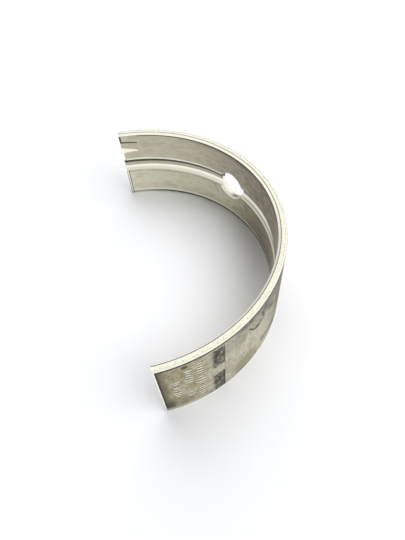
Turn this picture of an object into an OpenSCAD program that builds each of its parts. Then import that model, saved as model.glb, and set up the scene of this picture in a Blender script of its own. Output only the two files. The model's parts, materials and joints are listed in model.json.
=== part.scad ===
// Upper main-bearing shell of an engine: one half of the thin steel-backed sleeve
// that lines a crankshaft bore. A full oil groove runs round its bore, a feed hole
// breaks through the groove, and a tongue pressed out at one joint face locates it.
//
// Frame: the bearing's axis is Z. The origin is on that axis at mid-width, and the
// crown of the arc lies on +X. The shell rests on its lower side face.
// All lengths are in millimetres and all angles in degrees.

/* [Strip] */
// Diameter of the housing bore that clamps the shell
housing_d = 93; // [70:0.5:130]
// Amount by which the free shell's radius is larger than the housing's
free_spread = 0.7; // [0.1:0.1:1.5]
// Thickness of the wall, from its back to its bore
wall = 2.6; // [2.2:0.1:4]
// Width between the two side faces
shell_w = 28.4; // [24:0.2:50]

/* [Edges] */
// Chamfer along the bore at both side faces
bore_chamfer = 0.7; // [0.2:0.1:1]
// Chamfer along the back at both side faces
back_chamfer = 0.5; // [0.2:0.1:1]
// Chamfer along the bore at both joint faces
joint_relief = 0.7; // [0.2:0.1:1]
// Edge break along the back at both joint faces
joint_break = 0.5; // [0.1:0.1:0.6]

/* [Oil groove] */
// Width of the groove at the bore
groove_w = 4.9; // [3:0.1:8]
// Depth of the groove below the bore
groove_d = 1.5; // [1:0.1:1.8]
// Width of the groove's flat floor, between its two sloping sides
groove_floor_w = 1.6; // [0.8:0.1:3]

/* [Oil hole] */
// Diameter of the feed hole
hole_d = 10.2; // [6:0.2:14]
// Turn of the hole from the crown towards the lug
hole_turn = 32.4; // [0:0.2:60]
// Countersink round the hole's rim in the bore
hole_break = 0.3; // [0.1:0.1:0.6]

/* [Locating lug] */
// Height of the lug over the back at the joint face, and depth of its pocket there
lug_h = 1.3; // [0.8:0.1:1.8]
// Width of the tongue's flat floor
lug_w = 3.6; // [2:0.1:6]
// Length of the tongue back from the joint face
lug_len = 6.3; // [4:0.1:10]
// Depth of the step that is left at the tongue's root
lug_step = 0.25; // [0.1:0.05:0.5]
// Distance from the upper side face to the middle of the tongue at the joint face
lug_inset = 4.7; // [4:0.1:8]
// Slope of the tongue's drawn side against the wall
lug_draft = 39; // [20:1:60]
// Tilt of the punched tongue against the oil groove
lug_skew = 6; // [0:1:10]

/* [Hidden] */
$fn = 192;

// Distance by which a cutting shape runs past the surface that it cuts
overrun = 2;

// Pressing the shell home keeps the length of its back, so the more open free
// shell spans less than half a turn
back_r = housing_d / 2 + free_spread;
bore_r = back_r - wall;
arc = 180 * (housing_d / 2) / back_r;
half_arc = arc / 2;
half_w = shell_w / 2;

// Sideways run of the groove's sloping sides for each unit of depth
side_run_share = (groove_w - groove_floor_w) / (2 * groove_d);

hole_r = hole_d / 2;

// Level of the tongue's middle line at the joint face
lug_z = half_w - lug_inset;
// Distance from the axis, square to the joint face's middle line, at which the
// bore lies beside the tongue's root
root_bore_x = sqrt(bore_r * bore_r - lug_len * lug_len);
// Turn of the tongue's floor, from full depth at the joint face to the root's step
lug_ramp = atan((root_bore_x + lug_step - bore_r - lug_h) / lug_len);
// Sideways run of the drawn side for each unit of depth
draft_run_share = 1 / tan(lug_draft);

// Section of the strip: a rectangle with its four corners chamfered
module strip_section() {
    polygon([
        [bore_r, -half_w + bore_chamfer],
        [bore_r + bore_chamfer, -half_w],
        [back_r - back_chamfer, -half_w],
        [back_r, -half_w + back_chamfer],
        [back_r, half_w - back_chamfer],
        [back_r - back_chamfer, half_w],
        [bore_r + bore_chamfer, half_w],
        [bore_r, half_w - bore_chamfer]
    ]);
}

// The strip bent to its free arc, centred on the crown
module strip() {
    rotate(-half_arc) rotate_extrude(angle = arc) strip_section();
}

// Places its children at a joint face: X points outwards in the joint plane and
// the shell lies on the side of negative Y. The end is 1 for the lug's, or -1
module at_joint(end) {
    rotate(end * half_arc) mirror([0, end < 0 ? 1 : 0, 0]) children();
}

// Cutting prism for a 45 degree bevel of the given size on the joint-face corner
// at radius corner_r. The side is 1 where the wall lies outside that radius, or -1
module corner_bevel(corner_r, size, side) {
    reach = size + overrun;
    translate([corner_r, 0, -half_w - overrun])
        linear_extrude(shell_w + 2 * overrun)
            polygon([
                [-side * overrun, overrun],
                [side * reach, overrun],
                [-side * overrun, -reach]
            ]);
}

// Bevels on the inner and outer corners of both joint faces
module joint_edges() {
    for (end = [-1, 1]) at_joint(end) {
        corner_bevel(bore_r, joint_relief, 1);
        corner_bevel(back_r, joint_break, -1);
    }
}

// Section of the oil groove: a narrow flat floor between two sides that slope
// outwards to the bore, and on past it
module groove_section() {
    half_floor = groove_floor_w / 2;
    half_mouth = half_floor + (groove_d + overrun) * side_run_share;
    polygon([
        [bore_r + groove_d, half_floor],
        [bore_r - overrun, half_mouth],
        [bore_r - overrun, -half_mouth],
        [bore_r + groove_d, -half_floor]
    ]);
}

// Oil groove right round the bore, open at both joint faces
module oil_groove() {
    rotate_extrude() groove_section();
}

// Feed hole drilled square to the wall, with its rim in the bore countersunk
module oil_hole() {
    sink = hole_r + overrun;
    rotate(hole_turn) rotate([0, 90, 0]) {
        translate([0, 0, bore_r - hole_r]) cylinder(h = wall + 2 * hole_r, r = hole_r);
        translate([0, 0, bore_r + hole_break - sink])
            cylinder(h = sink, r1 = hole_r + sink, r2 = hole_r);
    }
}

// Places its children on the tongue: X is the depth below the pocket's floor,
// Y the level and Z the distance back from the joint face
module along_tongue() {
    at_joint(1)
        translate([bore_r + lug_h, 0, lug_z])
            rotate([lug_skew, 0, lug_ramp])
                rotate([90, 0, 0])
                    translate([0, 0, -overrun])
                        children();
}

// Pocket that the punch leaves in the bore: sheared square on its upper side,
// drawn to a slope on its lower side, deepest at the joint face
module tongue_pocket() {
    reach = lug_h + overrun;
    along_tongue()
        linear_extrude(lug_len + overrun)
            polygon([
                [0, lug_w / 2],
                [-reach, lug_w / 2],
                [-reach, -lug_w / 2 - reach * draft_run_share],
                [0, -lug_w / 2]
            ]);
}

// Lug that the same stroke raises on the back, one wall thickness further out,
// cut off flush with the joint face
module tongue_lug() {
    foot = lug_h + lug_step;
    difference() {
        along_tongue()
            linear_extrude(lug_len + overrun)
                polygon([
                    [0, lug_w / 2],
                    [wall, lug_w / 2],
                    [wall, -lug_w / 2],
                    [wall - foot, -lug_w / 2 - foot * draft_run_share],
                    [0, -lug_w / 2]
                ]);
        at_joint(1)
            translate([0, 0, -half_w])
                cube([back_r + shell_w, overrun + lug_len, shell_w]);
    }
}

// The whole shell, one piece of bonded strip
module shell() {
    color([0.72, 0.7, 0.62])
        difference() {
            union() {
                difference() {
                    strip();
                    joint_edges();
                }
                tongue_lug();
            }
            oil_groove();
            oil_hole();
            tongue_pocket();
        }
}

shell();
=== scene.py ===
# %% [markdown]
# # A main-bearing shell in satin metal
#
# The part is one half of the thin sleeve between a crankshaft and its housing: a strip
# of steel with a grey bearing lining on its bore, bent to a half circle. Its shape comes
# ready-made from the CAD model. This lesson gives it its surfaces, a floor to stand on,
# soft light and a camera.
#
# The first cell loads the CAD model as a fixed frame. Everything later is measured from it.

import json

import bpy
import numpy as np
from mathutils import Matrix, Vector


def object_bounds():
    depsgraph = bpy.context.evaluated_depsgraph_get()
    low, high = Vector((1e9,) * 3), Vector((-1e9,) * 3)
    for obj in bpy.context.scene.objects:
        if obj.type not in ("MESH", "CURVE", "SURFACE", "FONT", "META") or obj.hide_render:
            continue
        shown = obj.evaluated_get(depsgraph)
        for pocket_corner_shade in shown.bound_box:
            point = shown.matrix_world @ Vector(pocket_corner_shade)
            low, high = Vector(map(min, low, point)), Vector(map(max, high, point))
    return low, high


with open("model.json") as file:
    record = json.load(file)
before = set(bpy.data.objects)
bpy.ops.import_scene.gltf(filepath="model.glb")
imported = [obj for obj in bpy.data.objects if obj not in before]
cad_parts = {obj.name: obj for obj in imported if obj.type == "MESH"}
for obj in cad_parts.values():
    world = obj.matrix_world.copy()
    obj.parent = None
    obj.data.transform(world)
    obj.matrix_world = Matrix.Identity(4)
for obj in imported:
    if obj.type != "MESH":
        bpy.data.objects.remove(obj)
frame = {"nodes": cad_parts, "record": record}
shell = frame["nodes"]["shell"]
cad_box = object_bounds()

# %% [markdown]
# The record that travels with the CAD model already says where the bore, the back and the
# oil hole are. Reading them is better than writing them down a second time, because a
# change in the CAD then reaches the finish as well. What the record doesn't hold, such as
# the groove and the chamfers, is named here in millimetres and degrees.

# %% Read the sizes
MM = 0.001
mounts = {mount["name"]: mount for mount in frame["record"]["mounts"]}
BORE_R = mounts["journal"]["dims"]["r_mm"]
BACK_R = mounts["housing_seat"]["dims"]["r_mm"]
WALL = BACK_R - BORE_R
HOLE_R = mounts["oil_hole"]["dims"]["r_mm"]
hole_x, hole_y, _ = mounts["oil_hole"]["axis"]
HOLE_TURN = np.degrees(np.arctan2(hole_y, hole_x))
HALF_W = cad_box[1].z / MM
FLOOR_Z = cad_box[0].z

BORE_CHAMFER = 0.7
BACK_CHAMFER = 0.5
BORE_TOP = HALF_W - BORE_CHAMFER
BACK_TOP = HALF_W - BACK_CHAMFER
END_TURN = 88.66
GROOVE_HALF = 2.45
GROOVE_D = 1.5
GROOVE_FLOOR = 0.8
POCKET_TURN = 80.4
LUG_Z = 9.5
LUG_W = 3.6
LUG_SKEW = 6.0
print(f"bore {BORE_R} mm, back {BACK_R} mm, half width {HALF_W:.2f} mm, hole at {HOLE_TURN:.1f} degrees")

# %% [markdown]
# The camera looks down on the shell from the front, a little over half way up from the
# floor. A short lens close to the part gives the strong perspective of a hand-held
# picture: the near end is drawn nearly half as large again as the far end. The lens is
# measured against the picture's long side, so the sensor fits that side.

# %% Place the camera
CAMERA_AT = (9.775, -87.690, 107.83)
CAMERA_TURN = (0.62274, 0.05079, -0.20271)
LENS = 28.198

camera = bpy.data.objects.new("camera", bpy.data.cameras.new("camera"))
camera.location = [part * MM for part in CAMERA_AT]
camera.rotation_euler = CAMERA_TURN
camera.data.lens = LENS
camera.data.sensor_width = 36
camera.data.clip_start = 0.002
bpy.context.scene.collection.objects.link(camera)
bpy.context.scene.camera = camera
bpy.context.scene.view_settings.view_transform = "Standard"
print("camera", [round(part, 4) for part in camera.location])

# %% [markdown]
# Shader maths is easier to read as a formula than as a web of boxes. A `Signal` stands for
# what comes out of one socket. Adding, multiplying or comparing signals adds the matching
# Math node, also with a plain number on either side. `Nodes` holds the tree of a material
# or of the world, and its one `node` method adds any node: settings first, then sockets.

# %% A signal that can be added and multiplied
class Signal:
    """What one output socket carries: a number, a vector or a colour."""

    def __init__(self, home, socket):
        self.home = home
        self.socket = socket

    def __add__(self, other):
        return self.home.maths("ADD", self, other)

    def __sub__(self, other):
        return self.home.maths("SUBTRACT", self, other)

    def __rsub__(self, other):
        return self.home.maths("SUBTRACT", other, self)

    def __mul__(self, other):
        return self.home.maths("MULTIPLY", self, other)

    def __truediv__(self, other):
        return self.home.maths("DIVIDE", self, other)

    def __pow__(self, other):
        return self.home.maths("POWER", self, other)

    def __gt__(self, other):
        return self.home.maths("GREATER_THAN", self, other)

    def __lt__(self, other):
        return self.home.maths("LESS_THAN", self, other)

    def __neg__(self):
        return self.home.maths("SUBTRACT", 0.0, self)

    def __abs__(self):
        return self.home.maths("ABSOLUTE", self)

    __radd__ = __add__
    __rmul__ = __mul__


# %% A node tree written as formulas
class Nodes:
    """The nodes of a material or a world. It starts empty."""

    def __init__(self, owner):
        owner.use_nodes = True
        self.tree = owner.node_tree
        self.tree.nodes.clear()

    def node(self, kind, settings=None, sockets=None, out=0):
        """Adds a node, sets it up, fills its sockets and returns one of its outputs."""
        made = self.tree.nodes.new(kind)
        for name, value in (settings or {}).items():
            setattr(made, name, value)
        for key, value in (sockets or {}).items():
            if isinstance(value, Signal):
                self.tree.links.new(value.socket, made.inputs[key])
            else:
                made.inputs[key].default_value = value
        return None if out is None else Signal(self, made.outputs[out])

    def maths(self, operation, first, second=0.0):
        """Any one step of a sum, named as the Math node names it."""
        return self.node("ShaderNodeMath", {"operation": operation}, {0: first, 1: second})

    def fade(self, value, start, end):
        """Runs smoothly from 0 to 1 while the value goes from its start to its end, up or down."""
        return self.node(
            "ShaderNodeMapRange",
            {"interpolation_type": "SMOOTHSTEP"},
            {"Value": value, "From Min": start, "From Max": end},
        )

    def noise(self, vector, size=1.0, detail=3.0, rough=0.5):
        """Cloudy noise between 0 and 1, about 0.5 on the whole. Its spots are of the given size."""
        return self.node(
            "ShaderNodeTexNoise",
            {},
            {"Vector": vector, "Scale": 1.0 / size, "Detail": detail, "Roughness": rough},
        )

    def colour_mix(self, factor, under, over):
        """Lays one colour over another where the factor is 1."""
        return self.node(
            "ShaderNodeMix",
            {"data_type": "RGBA"},
            {0: factor, 6: paint(under), 7: paint(over)},
            out=2,
        )

    def number_mix(self, factor, under, over):
        """The same for two plain numbers, or two signals."""
        return self.node("ShaderNodeMix", {"data_type": "FLOAT"}, {0: factor, 2: under, 3: over})

    def shown(self):
        """1 for a ray that shows a thing: seen straight, in a mirror or through glass."""
        straight, mirrored, through = (
            self.node("ShaderNodeLightPath", out=f"Is {way} Ray")
            for way in ("Camera", "Glossy", "Transmission")
        )
        return self.maths("MAXIMUM", self.maths("MAXIMUM", straight, mirrored), through)


def paint(colour):
    """Gives a plain colour its fourth number, and lets a signal through."""
    return colour if isinstance(colour, Signal) else (*colour, 1.0)


# %% [markdown]
# The shell stands on a wide, plain, nearly white floor. It is a disc: a grid in turn and
# distance, whose rings crowd together under the shell. The floor is matt and takes the
# shell's shadow. It looks white, yet the light that it throws back is somewhat weaker, as
# if it were paler grey. That keeps the foot of the shell's walls as dark as it really is.

# %% Make the floor
FLOOR_R = 8.0
FLOOR_RINGS = 24
FLOOR_SPOKES = 96
FLOOR_WHITE = (0.955, 0.957, 0.965)
FLOOR_BOUNCE = (0.80, 0.80, 0.81)


def disc(rings, spokes, radius):
    """Grid of points: turn u, distance radius * v squared. A fan of triangles closes the middle."""
    turn, share = np.meshgrid(
        np.linspace(0, 2 * np.pi, spokes, endpoint=False), np.linspace(0, 1, rings + 1)[1:]
    )
    distance = radius * share**2
    points = np.stack([distance * np.cos(turn), distance * np.sin(turn), 0 * turn], axis=-1)
    points = np.vstack([points.reshape(-1, 3), [[0, 0, 0]]])
    index = np.arange(rings * spokes).reshape(rings, spokes)
    beside = np.roll(index, -1, axis=1)
    quads = np.stack([index[:-1], index[1:], beside[1:], beside[:-1]], axis=-1).reshape(-1, 4)
    fan = np.stack([index[0], beside[0], np.full(spokes, rings * spokes)], axis=-1)
    return points, quads.tolist() + fan.tolist()


points, faces = disc(FLOOR_RINGS, FLOOR_SPOKES, FLOOR_R)
points[:, 2] += FLOOR_Z
floor_mesh = bpy.data.meshes.new("floor")
floor_mesh.from_pydata(points.tolist(), [], faces)
floor = bpy.data.objects.new("floor", floor_mesh)
bpy.context.scene.collection.objects.link(floor)

floor_material = bpy.data.materials.new("floor")
ground = Nodes(floor_material)
tone = ground.colour_mix(ground.shown(), FLOOR_BOUNCE, FLOOR_WHITE)
matt = ground.node("ShaderNodeBsdfDiffuse", {}, {"Color": tone})
ground.node("ShaderNodeOutputMaterial", {}, {"Surface": matt}, out=None)
floor_mesh.materials.append(floor_material)
print("floor:", len(faces), "faces")

# %% [markdown]
# The light is that of a bright studio: two very broad lamps high up, one in front of the
# shell and to its right, one behind it, and a faint cool light from all round. A sun lamp
# with a wide angle gives a broad lamp, because its light is equally strong everywhere on
# the floor. The lamps leave no highlight: the metal mirrors only the white room and the
# floor. The world is white where it is looked at or mirrored, and nearly dark as a lamp.

# %% Light the scene
LAMP_ELEVATION = 55
FRONT_AZIMUTH = -28
FRONT_STRENGTH = 0.70 * np.pi
FRONT_ANGLE = 51
REAR_AZIMUTH = 73
REAR_STRENGTH = 0.53 * np.pi
REAR_ANGLE = 60
FILL = 0.062
FILL_TINT = (0.80, 0.93, 1.25)
WHITE = (1.0, 1.0, 1.0)


def sun(name, strength, azimuth, angle):
    """A lamp far away: azimuth from +X towards +Y, and the angle over which it spreads."""
    lamp = bpy.data.objects.new(name, bpy.data.lights.new(name, "SUN"))
    lamp.data.energy = strength
    lamp.data.angle = np.radians(angle)
    lamp.visible_glossy = False
    lamp.rotation_euler = (0.0, np.radians(90 - LAMP_ELEVATION), np.radians(azimuth))
    bpy.context.scene.collection.objects.link(lamp)


sun("key_front", FRONT_STRENGTH, FRONT_AZIMUTH, FRONT_ANGLE)
sun("key_rear", REAR_STRENGTH, REAR_AZIMUTH, REAR_ANGLE)

world = bpy.data.worlds.new("studio")
studio = Nodes(world)
room_seen = studio.shown()
room = studio.node(
    "ShaderNodeBackground",
    {},
    {
        "Color": studio.colour_mix(room_seen, FILL_TINT, WHITE),
        "Strength": studio.number_mix(room_seen, FILL, 1.0),
    },
)
studio.node("ShaderNodeOutputWorld", {}, {"Surface": room}, out=None)
bpy.context.scene.world = world
print("two lamps, world fill", FILL)

# %% [markdown]
# ## One finish, laid out by place
#
# The shell is one piece of strip, yet it shows four surfaces: the dull lining on the bore,
# the bright metal of every cut edge, the pale side faces and the stained steel of the back.
# They could be four materials on four groups of faces. The CAD mesh isn't to be changed,
# so one material asks instead where it is: how far from the axis, how high, and how far
# round. Those three numbers come from Object coordinates, in millimetres and degrees.

# %% Where on the shell a point is
MM_PER_DEGREE = BACK_R * np.pi / 180

strip_material = bpy.data.materials.new("bearing_strip")
metal = Nodes(strip_material)
fade, noise = metal.fade, metal.noise

in_metres = metal.node("ShaderNodeTexCoord", out="Object")
place = metal.node(
    "ShaderNodeVectorMath", {"operation": "MULTIPLY"}, {0: in_metres, 1: (1 / MM, 1 / MM, 1 / MM)}
)
x, y, z = (metal.node("ShaderNodeSeparateXYZ", {}, {0: place}, out=axis) for axis in range(3))
depth = (x * x + y * y) ** 0.5 - BORE_R
turn = metal.maths("ARCTAN2", y, x) * (180 / np.pi)
height = abs(z)


def wall_noise(long, tall, detail=3.0, rough=0.5):
    """Noise on the wall rolled out flat, its spots so many mm long on the arc and so many tall."""
    flat = {0: turn * (MM_PER_DEGREE / long), 1: z / tall, 2: depth}
    return noise(metal.node("ShaderNodeCombineXYZ", {}, flat), 1.0, detail, rough)


def layer(under, colour, mask, amount=1.0):
    """Lays a colour over what is there where the mask is 1, at most in the given amount."""
    return metal.colour_mix(mask * amount, under, colour)


print("depth runs from 0 at the bore to", round(WALL, 2), "mm at the back")

# %% [markdown]
# Marks are drawn with five shapes: a band between two limits, a thin line, a border that
# wanders, a soft oval and a straight scratch. Each gives a number between 0 and 1 that
# says how much a point belongs to the mark. Turn is in degrees, all else in millimetres.

# %% Shapes of marks
def between(value, low, high, soft):
    """1 where the value is between two limits, with soft borders."""
    return fade(value, low - soft, low + soft) * (1 - fade(value, high - soft, high + soft))


def line_at(value, where, half_wide):
    """A thin soft line where the value equals a number."""
    return 1 - fade(abs(value - where), 0.0, half_wide)


ragged_turn = turn + (wall_noise(2.0, 2.0) - 0.5) * 2.4
ragged_z = z + (wall_noise(1.7, 1.7) - 0.5) * 3.0


def blot(turn_at, z_at, half_long, half_tall, soft=0.5):
    """A soft ragged oval: the distance from its middle, counted in its half sizes."""
    across = (ragged_turn - turn_at) * (MM_PER_DEGREE / half_long)
    up = (ragged_z - z_at) / half_tall
    return 1 - fade((across * across + up * up) ** 0.5, 1 - soft, 1 + soft)


def scratch(start, end, half_wide):
    """A straight mark on the wall from one (turn, z) to another: distance to the nearest point."""
    run_round, run_up = (end[0] - start[0]) * MM_PER_DEGREE, end[1] - start[1]
    from_round, from_up = (turn - start[0]) * MM_PER_DEGREE, z - start[1]
    share = (from_round * run_round + from_up * run_up) / (run_round**2 + run_up**2)
    share = metal.node("ShaderNodeClamp", {}, {0: share})
    gap_round, gap_up = from_round - share * run_round, from_up - share * run_up
    return 1 - fade((gap_round * gap_round + gap_up * gap_up) ** 0.5, 0.0, half_wide)


print("marks can be drawn")

# %% [markdown]
# A zone is such a mark for a whole surface. The lining is where the depth is nothing, the
# back where it is the full wall, and the side faces lie at the full height. Whatever is
# none of these has been cut: the chamfers, the oil groove, the oil hole, the drawn side of
# the lug's pocket and the joint faces. The pocket's floor was pressed and not cut, so it
# keeps its lining. `tongue` is the height over the pocket's skewed middle line.

# %% Zones
SKIN = 0.03
POCKET_LOW = GROOVE_HALF + 1
POCKET_TOP = BORE_TOP - 0.1
POCKET_DEEP = WALL / 2 + 0.3
PAST_END = END_TURN + 0.3

from_end = (END_TURN - turn) * (BORE_R * np.pi / 180)
tongue = z + from_end * np.tan(np.radians(LUG_SKEW)) - LUG_Z
pocket = (turn > POCKET_TURN) * (turn < PAST_END) * (z > POCKET_LOW) * (height < POCKET_TOP)
pocket = pocket * (depth < POCKET_DEEP)
drawn_side = pocket * (depth > SKIN) * (1 - fade(tongue, -LUG_W / 2 - 0.10, -LUG_W / 2))
pocket = pocket * (1 - drawn_side)

cut = fade(depth, SKIN, 2 * SKIN) * (1 - pocket)
joint_face = fade(abs(turn), END_TURN - 2 * SKIN, END_TURN - 0.02)
back = fade(depth, WALL - 3 * SKIN, WALL - 2 * SKIN) * (1 - joint_face)
side = fade(height, HALF_W - 2 * SKIN, HALF_W - SKIN)

hole_turn = np.radians(HOLE_TURN)
aside = x * np.sin(hole_turn) - y * np.cos(hole_turn)
hole = cut * ((aside * aside + z * z) ** 0.5 < HOLE_R + 2 * SKIN) * (x > 0)
groove = cut * (height < GROOVE_HALF + 0.25) * (depth < GROOVE_D + SKIN) * (1 - hole)
print("zones: lining, cut, side, back, groove, hole, pocket")

# %% [markdown]
# ### The lining
#
# The bore was machined to a satin finish. It is paler near the joint faces and darker and
# browner towards the crown: partly wear, where the journal presses hardest, and partly
# painted shade, as the bore there faces away from the lamps. Low down and away from the crown
# it is painted paler, as light. Clouds of a warmer and a cooler grey lie over it, long faint
# streaks run round it, and the darker part is mottled.
# A noise is near 0.5 on the whole, so the two numbers in its `fade` say which of its
# spots are coloured: above 0.5 the high ones, below 0.5 the low ones.

# %% Lining colour
LINING_PALE = (0.76, 0.715, 0.545)
LINING_WORN_AND_SHADED = (0.39, 0.345, 0.240)
LINING_PAINTED_LIGHT = (0.92, 0.89, 0.70)
CLOUD_WARM = (0.62, 0.545, 0.420)
CLOUD_COOL = (0.30, 0.29, 0.225)
STREAK_DARK = (0.20, 0.18, 0.13)
STREAK_PALE = (0.95, 0.93, 0.80)
MOTTLE_DARK = (0.20, 0.175, 0.120)
MOTTLE_PALE = (0.74, 0.70, 0.56)
WEAR_AND_SHADE_MIDDLE = 4
WEAR_AND_SHADE_REACH = 56

from_crown = abs(turn - WEAR_AND_SHADE_MIDDLE)
wear_and_shade = 1 - fade(from_crown, 2, WEAR_AND_SHADE_REACH)
lower = fade(-z, -4, 9) * fade(from_crown, 8, 34)
# Darker towards the crown: partly wear, partly painted shade.
lining = layer(LINING_PALE, LINING_WORN_AND_SHADED, wear_and_shade)
# Painted light: the lower part of the bore, away from the crown, is made paler.
lining = layer(lining, LINING_PAINTED_LIGHT, lower, amount=0.85)

clouds = wall_noise(long=9.0, tall=4.0, detail=4.0, rough=0.55)
lining = layer(lining, CLOUD_WARM, fade(clouds, 0.48, 0.68) * (1 - lower * 0.6), amount=0.60)
lining = layer(lining, CLOUD_COOL, fade(clouds, 0.48, 0.32), amount=0.22)
streaks = wall_noise(long=14.0, tall=0.55, rough=0.6)
lining = layer(lining, STREAK_DARK, fade(streaks, 0.45, 0.75), amount=0.14)
lining = layer(lining, STREAK_PALE, fade(streaks, 0.55, 0.25), amount=0.10)
mottle = wall_noise(long=3.2, tall=1.3, detail=4.0, rough=0.6)
lining = layer(lining, MOTTLE_DARK, fade(mottle, 0.50, 0.64) * (0.10 + 0.32 * wear_and_shade))
lining = layer(lining, MOTTLE_PALE, fade(mottle, 0.50, 0.36) * (0.08 + 0.26 * wear_and_shade))
print("lining from", LINING_PALE, "to", LINING_WORN_AND_SHADED)

# %% [markdown]
# Thin dark lines of painted shade run along the lining's edges: under the top chamfer, over
# the bottom one, along both rims of the groove and beside the joint faces. Next to the line
# over the groove and to the bottom one, a bright band is painted as highlight. The corner
# under the sheared side of the lug's pocket is painted dark as shade. The camera looks
# down at a slant, so a point that lies deeper looks higher up: SHADOW_SLOPE says how much.

# %% Lines on the lining
HIGHLIGHT_PALE = (1.0, 0.99, 0.88)
BROWNED = (0.12, 0.105, 0.075)
SCORED = (0.15, 0.13, 0.10)
EDGE_SHADE = (0.02, 0.017, 0.012)
CORNER_SHADE = (0.03, 0.026, 0.018)
SHADOW_SLOPE = 0.88

lining = layer(lining, SCORED, scratch((42.6, -3.2), (40.2, -6.4), half_wide=0.35), amount=0.6)
# Bright bands painted as highlight beside the bottom line and the line over the groove.
low_highlight = between(-z, BORE_TOP - 1.70, BORE_TOP - 0.66, soft=0.25)
low_highlight = low_highlight * (1 - fade(turn, 76, 86) * 0.4) * (0.5 + 0.5 * fade(turn, 4, 16))
groove_highlight = between(z, GROOVE_HALF + 0.40, GROOVE_HALF + 1.05, soft=0.16)
highlight_bands = low_highlight + groove_highlight * (0.25 + 0.75 * fade(turn, 10, 40))
lining = layer(lining, HIGHLIGHT_PALE, highlight_bands, amount=0.9)
lining = layer(lining, BROWNED, fade(z, 11.2, 13.0) * (1 - fade(turn, 46, 64)), amount=0.35)

# Thin lines of painted shade along the lining's edges.
top_line = line_at(z, BORE_TOP - 0.16, half_wide=0.55 - 0.26 * fade(turn, 25, 75))
bottom_line = fade(-z, BORE_TOP - 0.66, BORE_TOP - 0.50) * (1 - fade(turn, 66, 84) * 0.7)
over_groove = between(z, GROOVE_HALF - 0.10, GROOVE_HALF + 0.36, soft=0.10)
under_groove = line_at(-z, GROOVE_HALF + 0.34, half_wide=0.26) * 0.35
joint_line = line_at(abs(turn), END_TURN - 1.10, half_wide=0.34)
edge_shade_lines = top_line + bottom_line + over_groove + under_groove + joint_line
lining = layer(lining, EDGE_SHADE, edge_shade_lines * (1 - pocket))
# Painted shade in the corner under the pocket's sheared side.
seen_height = tongue + depth * SHADOW_SLOPE
pocket_corner_shade = fade(seen_height, LUG_W / 2 - 0.50, LUG_W / 2 - 0.28) * pocket * (depth > SKIN)
lining = layer(lining, CORNER_SHADE, pocket_corner_shade, amount=0.95)
print("five painted_shade lines and two painted_highlight bands")

# %% [markdown]
# ### Cut metal
#
# Where a tool has passed, the metal is clean, bright and a little creamy. The groove is a
# flat floor between two slopes: the lower slope catches the light, the floor is painted grey
# as the shadow that the groove's upper rim casts into it, and the upper slope is painted dark
# as its own shade, less dark towards the near end. The outer part of each slope is duller,
# with a thin line of painted shade along the rim. Towards the crown the groove is duller, and
# a dark step shows in its slope.

# %% Chamfer and groove colours
CUT = (0.97, 0.955, 0.83)
CUT_GRAIN = (0.72, 0.69, 0.55)
CUT_DULL = (0.62, 0.60, 0.485)
GROOVE_DULL = (0.55, 0.52, 0.41)
GROOVE_STEP = (0.25, 0.225, 0.165)
GROOVE_RIM_SHADE = (0.20, 0.18, 0.13)
GROOVE_SHADOW_GREY = (0.52, 0.495, 0.385)
SLOPE_SHADE_GREY = (0.26, 0.24, 0.18)
SHADE = (0.05, 0.044, 0.03)
BEVEL_SHADE = (0.10, 0.09, 0.065)
BEVEL_WHITE = (1.0, 0.99, 0.90)

grain = noise(place, 0.42, 4.0, 0.7)
bright = layer(CUT, CUT_GRAIN, fade(grain, 0.45, 0.80), amount=0.25)
near_groove = groove * (1 - fade(turn, 18, 34))
bright = layer(bright, GROOVE_DULL, near_groove, amount=0.55)
bright = layer(bright, CUT_DULL, groove * (1 - fade(depth, 0.70, 1.15)), amount=0.60)
bright = layer(bright, GROOVE_STEP, near_groove * between(depth, 0.46, 0.86, soft=0.08), amount=0.7)
# A thin line of painted shade along the groove's rim.
bright = layer(bright, GROOVE_RIM_SHADE, groove * (1 - fade(depth, 0.08, 0.26)), amount=0.75)
# The floor, painted grey as the shadow of the groove's upper rim.
bright = layer(bright, GROOVE_SHADOW_GREY, groove * fade(z, -GROOVE_FLOOR, -GROOVE_FLOOR + 0.08))
# The upper slope, painted dark as shade.
upper_slope_shade = layer(SLOPE_SHADE_GREY, SHADE, fade(turn, -35, 0))
bright = layer(bright, upper_slope_shade, groove * fade(z, GROOVE_FLOOR - 0.25, GROOVE_FLOOR - 0.05))

# Painted shade along the bevel of the far joint face, below the groove.
joint_bevel = cut * between(depth, 0.42, 0.90, soft=0.08) * (turn > END_TURN - 1.2)
bright = layer(bright, BEVEL_SHADE, joint_bevel * fade(-z, 2.4, 3.2), amount=0.9)
near_bevel = fade(z, BORE_TOP, BORE_TOP + 0.1) * (1 - fade(turn, -30, -4))
bright = layer(bright, BEVEL_WHITE, near_bevel * (depth < BORE_CHAMFER + 0.05))
print("cut metal", CUT)

# %% [markdown]
# The oil hole has a dull countersunk ring, then a dark line where the drill's straight wall
# begins. The part of the wall under the groove's upper rim is painted dark as shade, and a
# crescent of painted shade lies low on the right, where the wall turns away from the light.

# %% Oil hole colours
HOLE_RING = (0.50, 0.48, 0.38)
CRESCENT_SHADE = (0.12, 0.105, 0.075)

bright = layer(bright, CUT_DULL, hole * (1 - fade(depth, 0.9, 1.5)), amount=0.5)
bright = layer(bright, HOLE_RING, hole * (1 - fade(depth, 0.28, 0.34)), amount=0.6)
bright = layer(bright, SHADE, hole * line_at(depth, 0.38, half_wide=0.14), amount=0.5)
# Painted shade on the wall under the groove's upper rim, and a crescent of it low down.
shaded_wall = fade(z + depth * SHADOW_SLOPE, 1.9, 2.6) * (aside < 0)
bright = layer(bright, SHADE, hole * shaded_wall)
low_wall = fade(-z, HOLE_R * 0.62, HOLE_R * 0.85) * fade(aside, -1.5, 1.0)
bright = layer(bright, CRESCENT_SHADE, hole * low_wall * between(depth, 0.5, 2.0, soft=0.2), amount=0.8)
print("hole at", round(HOLE_TURN, 1), "degrees")

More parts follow.
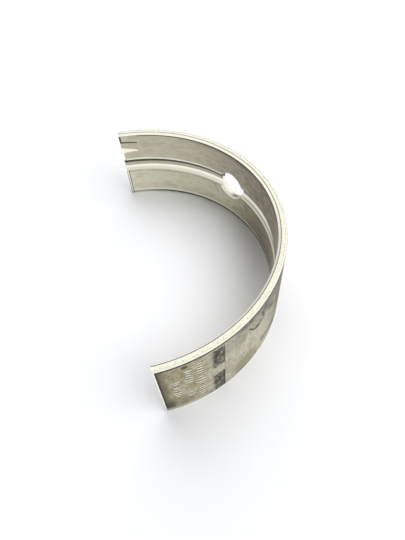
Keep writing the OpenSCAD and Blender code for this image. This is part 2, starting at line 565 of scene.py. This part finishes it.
# %% [markdown]
# The side faces were ground: they are cream, with a fine sandy grain and a few duller
# spots. A thin dark line follows the bore's chamfer, and a broken one follows the back's.

# %% Side face colours
SIDE = (0.94, 0.935, 0.78)
SAND = (0.58, 0.555, 0.38)
SIDE_SPOT = (0.62, 0.60, 0.43)
SIDE_LINE = (0.08, 0.07, 0.05)

spots = noise(place, 1.7, 3.0, 0.6)
sides = layer(SIDE, SAND, fade(grain, 0.47, 0.63), amount=0.60)
sides = layer(sides, SIDE_SPOT, fade(spots, 0.52, 0.72), amount=0.30)
inner_line = line_at(depth, BORE_CHAMFER + 0.10, half_wide=0.22)
outer_line = line_at(depth, WALL - BACK_CHAMFER - 0.12, half_wide=0.20) * fade(grain, 0.38, 0.55)
side_lines = inner_line + outer_line * (0.30 + 0.45 * fade(turn, -20, 30))
sides = layer(sides, SIDE_LINE, side_lines)
print("side faces", SIDE)

# %% [markdown]
# ### The back
#
# The back sat against the housing and has stayed in store since. It is pale steel, drawn
# lengthwise and finely speckled, with an olive bloom over the end that carries the stamping
# and water marks along its lower edge. Towards the crown it darkens. Each stain is a soft
# oval or a ragged band, laid over the steel one after the other.

# %% Back colour
STEEL = (0.63, 0.590, 0.450)
STEEL_BLOOM = (0.42, 0.38, 0.26)
SPECK_DARK = (0.19, 0.170, 0.105)
SPECK_PALE = (0.86, 0.83, 0.68)
CROWN_DULL = (0.18, 0.160, 0.110)
CROWN_DARK = (0.06, 0.054, 0.036)
CORNER_STAIN = (0.10, 0.090, 0.060)
DRAW_MARK = (0.28, 0.255, 0.18)

bloom = wall_noise(long=5.0, tall=5.0, detail=5.0, rough=0.6)
fine = wall_noise(long=0.9, tall=1.3, rough=0.6)
drawn = wall_noise(long=1.1, tall=16.0, rough=0.6)
dark_specks = fade(fine, 0.50, 0.66)
steel = layer(STEEL, STEEL_BLOOM, fade(bloom, 0.42, 0.66), amount=0.6)
steel = layer(steel, SPECK_DARK, dark_specks, amount=0.40)
steel = layer(steel, SPECK_PALE, fade(fine, 0.50, 0.36), amount=0.35)

steel = layer(steel, CROWN_DULL, fade(turn, -50, -32) * (1 - fade(turn, -10, 30)), amount=0.70)
turning_away = fade(turn, -39, -33) * (1 - fade(turn, -14, 16))
steel = layer(steel, CROWN_DARK, turning_away * (0.30 + 0.35 * fade(z, -4, 8)))
upper_corner = fade(ragged_z, 4.0, 11.0) * fade(ragged_turn, -62, -42) * (1 - fade(turn, -20, 10))
steel = layer(steel, CORNER_STAIN, upper_corner, amount=0.75)
steel = layer(steel, DRAW_MARK, fade(drawn, 0.50, 0.80), amount=0.22)
print("back", STEEL)

# %% Olive bloom and water marks
OLIVE = (0.47, 0.415, 0.240)
OLIVE_EDGE = (0.15, 0.130, 0.070)
OLIVE_SPECK = (0.13, 0.112, 0.055)
WATER_MARK = (0.22, 0.195, 0.11)
FOOT_STAIN = (0.075, 0.068, 0.035)
NICK = (0.04, 0.034, 0.02)
OLIVE_PATCH = (0.30, 0.275, 0.14)
UPPER_HAZE = (0.22, 0.20, 0.13)

stamped_end = 1 - fade(ragged_turn, -79, -69)
steel = layer(steel, OLIVE, stamped_end * (0.35 + 0.60 * fade(bloom, 0.35, 0.60)))
steel = layer(steel, OLIVE_EDGE, 1 - fade(ragged_turn, -87.5, -84.5), amount=0.85)
steel = layer(steel, OLIVE_SPECK, stamped_end * dark_specks, amount=0.45)
steel = layer(steel, WATER_MARK, blot(-83, -9.5, half_long=5.0, half_tall=4.5), amount=0.40)
steel = layer(steel, FOOT_STAIN, blot(-86.8, -11.5, half_long=1.8, half_tall=4.0), amount=0.80)
steel = layer(steel, NICK, blot(-79.4, 11.7, half_long=0.9, half_tall=0.9), amount=0.85)
low_patch = blot(-55.5, -9.5, half_long=5.0, half_tall=4.5, soft=0.35)
steel = layer(steel, OLIVE_PATCH, low_patch, amount=0.75)
haze = fade(ragged_z, 3.0, 6.5) * between(ragged_turn, -65, -56, soft=2.0)
steel = layer(steel, UPPER_HAZE, haze, amount=0.35)
print("olive bloom", OLIVE)

# %% [markdown]
# A clamp held the strip while it was bent. Its two jaws have left two dark blocks, one above
# and one below mid-height, that end sharply at the same line. Beyond it oil has dried in
# smears: a run under the upper edge, the border of a pool, and two broad strokes where the
# back turns away. Painted shade darkens the edges of the back: under the top rim, beside the
# near joint face and along the bottom. Above the floor at the stamped end a paler strip is laid.

# %% Clamp marks and smears on the back
OIL = (0.035, 0.031, 0.020)
JAW_LINE = (0.01, 0.009, 0.006)
JAW_TURN = -65.4
UNDER_RIM = (0.04, 0.034, 0.022)

jaws = between(ragged_turn, -70.0, -60.0, soft=0.7) * (1 - fade(turn, JAW_TURN - 0.2, JAW_TURN + 0.2))
blocks = between(ragged_z, 2.6, 12.4, soft=0.9) + (1 - fade(ragged_z, -3.1, -2.1))
patchy = fade(wall_noise(long=1.3, tall=2.4, detail=4.0, rough=0.65), 0.36, 0.60)
steel = layer(steel, OIL, jaws * blocks * (0.50 + 0.48 * patchy))
steel = layer(steel, JAW_LINE, scratch((-65.9, -2.6), (-65.9, -14.0), half_wide=0.42))
steel = layer(steel, OIL, scratch((JAW_TURN, 12.6), (JAW_TURN, -2.0), half_wide=0.26), amount=0.6)

upper_run = blot(-53, 12.2, half_long=6.0, half_tall=1.0) * 0.75
pool = (
    blot(-49.5, 5.8, half_long=2.4, half_tall=1.0) * 0.75
    + scratch((-54.6, 8.8), (-52.0, 5.6), half_wide=0.6)
    + scratch((-52.0, 5.6), (-49.0, 4.7), half_wide=0.6)
    + scratch((-47.6, 9.8), (-46.2, 6.6), half_wide=0.7) * 0.9
)
strokes = (
    scratch((-46.5, 10.5), (-39.5, 4.8), half_wide=2.2) * 0.95
    + scratch((-45.5, -8.4), (-36.0, -9.8), half_wide=2.0) * 0.80
)
drops = (
    blot(-46.5, -5.5, half_long=0.8, half_tall=1.0) * 0.6
    + blot(-49.0, -11.5, half_long=0.9, half_tall=1.8) * 0.6
    + blot(-31, 3.0, half_long=5.0, half_tall=6.0) * 0.50
)
steel = layer(steel, OIL, (upper_run + pool + strokes + drops) * fade(bloom, 0.25, 0.55))

# Painted shade under the top rim, beside the near joint face and along the bottom.
rim_shade = fade(z, BACK_TOP - 0.85, BACK_TOP - 0.30) + fade(-turn, END_TURN - 1.45, END_TURN - 0.95)
steel = layer(steel, UNDER_RIM, rim_shade, amount=0.95)
pale_foot_strip = fade(-z, HALF_W - 2.6, HALF_W - 1.2) * stamped_end
steel = layer(steel, SPECK_PALE, pale_foot_strip, amount=0.6)
steel = layer(steel, SHADE, fade(-z, BACK_TOP - 0.45, BACK_TOP - 0.15), amount=0.75)
print("clamp marks, smears and edges laid")

# %% [markdown]
# The stamping at the near end is kept plain: three rows of short ticks, pressed into the
# back by a punch. A tick is what is left when the height, counted in steps along the row,
# is near a whole number. A random number for each whole number makes the ticks unequally
# long and spaced and leaves a few out. Each has one side painted as highlight and the other
# painted as shade.

# %% Stamped ticks
TICK_STEP = 1.42
TICK_SHORT = 0.40
TICK_EXTRA = 0.80
TICK_WANDER = 0.34
TICK_SLANT = 0.22
TICK_MISSING = 0.10
TICK_HIGHLIGHT = (0.97, 0.955, 0.82)
TICK_SHADE = (0.045, 0.038, 0.02)


def tick_row(turn_at, seed, *spans):
    """Painted highlight and shade on a row of ticks across the turn given, within the spans of height.
    """
    count = (z + (turn - turn_at) * (MM_PER_DEGREE * TICK_SLANT)) / TICK_STEP + 100.5
    number = metal.maths("FLOOR", count) + seed
    chance = metal.node("ShaderNodeTexWhiteNoise", {"noise_dimensions": "1D"}, {"W": number})
    along = (metal.maths("FRACT", count) - 0.5 + (chance - 0.5) * TICK_WANDER) * TICK_STEP
    half_long = TICK_SHORT + TICK_EXTRA * chance
    ends = 1 - fade(abs(turn - turn_at) * MM_PER_DEGREE - half_long, 0.0, 0.16)
    reach = sum(between(z, low, high, soft=0.04) for low, high in spans)
    reach = reach * ends * (chance > TICK_MISSING)
    highlight_side = 1 - fade(abs(along - 0.20), 0.22, 0.36)
    shaded_side = 1 - fade(abs(along + 0.36), 0.16, 0.30)
    return reach * highlight_side, reach * shaded_side


outer_row = tick_row(-83.0, 10, (-5.5, 4.5))
middle_row = tick_row(-78.6, 40, (-9.2, -5.2), (1.0, 9.0))
inner_row = tick_row(-74.6, 80, (-10.2, 11.0))
stamping, stamp_shade = (sum(sides_of) for sides_of in zip(outer_row, middle_row, inner_row))
# Painted shade on one side of each tick, painted highlight on the other.
steel = layer(steel, TICK_SHADE, stamp_shade, amount=0.95)
steel = layer(steel, TICK_HIGHLIGHT, stamping, amount=0.95)
print("three stamped rows")

# %% [markdown]
# ### Relief and gloss
#
# What stands up or lies deep is given as a height in millimetres: the fine marks that the
# boring tool left round the lining, the sandy grain of the side faces, the draw marks and
# bloom of the back, and the ticks, which are pressed in. A Bump node turns the height into
# a slant of the surface.

# %% Relief
BORED_MARKS = 0.004
SAND_RELIEF = 0.030
DRAW_RELIEF = 0.006
BLOOM_RELIEF = 0.02
STAMP_DEPTH = 0.11
CUT_RELIEF = 0.010

bored = wall_noise(long=30.0, tall=0.28, detail=2.0)
relief = (1 - cut) * bored * BORED_MARKS + side * grain * SAND_RELIEF
relief = relief + back * (drawn * DRAW_RELIEF + bloom * BLOOM_RELIEF - stamping * STAMP_DEPTH)
relief = relief + cut * (1 - side) * (1 - back) * grain * CUT_RELIEF
bump = metal.node("ShaderNodeBump", {}, {"Distance": 1.0, "Strength": 1.0, "Height": relief * MM})
print("stamped", STAMP_DEPTH, "mm deep")

# %% [markdown]
# Clean metal mirrors more than the lining or the stained back, so both the roughness and
# the metallic share follow the same zones. The chamfer at the near end is the exception:
# all that it could mirror is the dark inside of the shell, so it is made less metallic.

# %% Put the finish together
LINING_SHINE = 0.35
CUT_SHINE = 0.97
SIDE_SHINE = 0.60
BACK_SHINE = 0.35
DARK_GLINT = 0.1

colour = layer(lining, bright, cut)
colour = layer(colour, sides, side)
colour = layer(colour, steel, back)
gloss = metal.number_mix(cut, 0.34 + 0.10 * clouds, 0.36)
gloss = metal.number_mix(side, gloss, 0.40 + 0.12 * grain)
gloss = metal.number_mix(back, gloss, 0.36 + 0.14 * bloom)
shine = metal.number_mix(cut, LINING_SHINE + 0.30 * lower, CUT_SHINE)
shine = shine + highlight_bands * (1 - cut) * 0.45 - near_bevel * cut * 0.55
shine = metal.number_mix(side, shine, SIDE_SHINE)
shine = metal.number_mix(back, shine, BACK_SHINE + 0.6 * stamping)
surface = metal.node(
    "ShaderNodeBsdfPrincipled",
    {},
    {
        "Base Color": colour,
        "Metallic": shine,
        "Roughness": gloss,
        "Specular IOR Level": DARK_GLINT,
        "Normal": bump,
    },
)
metal.node("ShaderNodeOutputMaterial", {}, {"Surface": surface}, out=None)
shell.material_slots[0].material = strip_material
print("bearing strip finish:", len(metal.tree.nodes), "nodes")
